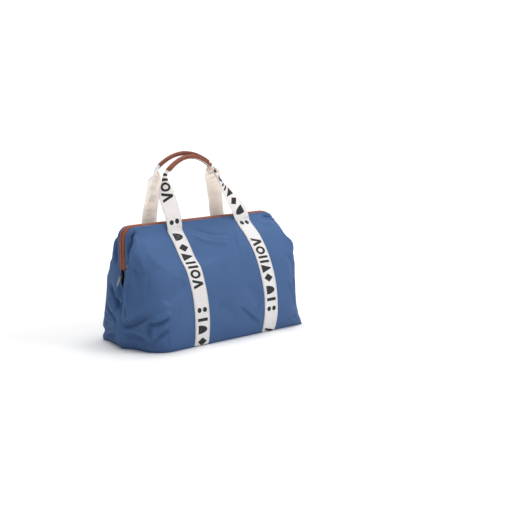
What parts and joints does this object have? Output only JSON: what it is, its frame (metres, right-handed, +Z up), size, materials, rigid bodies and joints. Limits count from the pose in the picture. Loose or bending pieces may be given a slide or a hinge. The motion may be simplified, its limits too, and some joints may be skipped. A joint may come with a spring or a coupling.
{
  "type": "diaper bag",
  "caption": "Frame-mouth diaper bag: soft blue shell on a hinged steel frame that opens wide, zip with slider, lining, inner pockets and webbing handles with leather grips.",
  "frame": {"origin": "middle of the base, on the surface the bag stands on", "axes": "+Z up; +X along the bag, with the closed zip's slider at the -X foot; the front panel faces -Y"},
  "size_m": [0.5942, 0.2796, 0.5123],
  "materials": {
    "canvas": "matte woven polyester with a faint sheen",
    "lining_cloth": "smooth taffeta",
    "webbing": null,
    "leather": "brown grained faux leather",
    "steel": "satin",
    "dark_metal": "gunmetal",
    "zip_cloth": "black woven tape",
    "board": "matte",
    "elastic": "matte covered elastic",
    "foam": "matte"
  },
  "bodies": {
    "shell": {"base_panel": "canvas", "base_board": "board", "base_lining": "lining_cloth", "front_panel_lower": "canvas", "rear_panel_lower": "canvas", "front_lining_lower": "lining_cloth", "rear_lining_lower": "lining_cloth", "bottle_pockets": "lining_cloth", "bottle_pockets_rim": "elastic", "rear_pocket": "lining_cloth", "rear_pocket_rim": "elastic", "left_hinge_rivet": "steel", "right_hinge_rivet": "steel", "left_zip_foot_tape": "zip_cloth", "right_zip_foot_tape": "zip_cloth", "left_zip_stop": "dark_metal", "right_zip_stop": "dark_metal", "front_strap_left_lower": "webbing", "front_strap_right_lower": "webbing", "rear_strap_left_lower": "webbing", "rear_strap_right_lower": "webbing"},
    "front_bow": {"front_bow": "steel", "front_hem": "canvas", "front_piping": "leather", "front_zip_teeth": "dark_metal", "front_zip_tape": "zip_cloth", "front_panel_upper": "canvas", "front_lining_upper": "lining_cloth", "front_strap_left_upper": "webbing", "front_strap_right_upper": "webbing"},
    "rear_bow": {"rear_bow": "steel", "rear_hem": "canvas", "rear_piping": "leather", "rear_zip_teeth": "dark_metal", "rear_zip_tape": "zip_cloth", "rear_panel_upper": "canvas", "rear_lining_upper": "lining_cloth", "rear_strap_left_upper": "webbing", "rear_strap_right_upper": "webbing"},
    "front_handle": {"front_handle_webbing": "webbing", "front_grip_core": "foam", "front_grip_wrap": "leather"},
    "rear_handle": {"rear_handle_webbing": "webbing", "rear_grip_core": "foam", "rear_grip_wrap": "leather"},
    "zip_slider": {"zip_slider": "dark_metal", "slider_bail": "dark_metal"},
    "pull_tab": {"zip_pull_tab": "steel"}
  },
  "joints": [
    {"name": "front_bow_hinge", "type": "hinge", "parent": "shell", "child": "front_bow", "pos_m": [-0.017, 0, 0.199], "axis": [1, 0, 0], "range_deg": [0, 40], "deforming": ["front_panel_upper", "front_lining_upper", "front_strap_left_upper", "front_strap_right_upper"]},
    {"name": "rear_bow_hinge", "type": "hinge", "parent": "shell", "child": "rear_bow", "pos_m": [-0.017, 0, 0.199], "axis": [-1, 0, 0], "range_deg": [0, 40], "deforming": ["rear_panel_upper", "rear_lining_upper", "rear_strap_left_upper", "rear_strap_right_upper"]},
    {"name": "front_handle_fold", "type": "hinge", "parent": "front_bow", "child": "front_handle", "pos_m": [0, -0.031, 0.312], "axis": [1, 0, 0], "range_deg": [0, 112]},
    {"name": "rear_handle_fold", "type": "hinge", "parent": "rear_bow", "child": "rear_handle", "pos_m": [0, 0.031, 0.312], "axis": [-1, 0, 0], "range_deg": [0, 112]},
    {"name": "zip_slide", "type": "slide", "parent": "shell", "child": "zip_slider", "axis": [0, 0, 1], "range_m": [0, 0.082]},
    {"name": "pull_tab_swing", "type": "hinge", "parent": "zip_slider", "child": "pull_tab", "pos_m": [-0.28563, 0, 0.1945], "axis": [0, 1, 0], "range_deg": [-22, 110]}
  ]
}
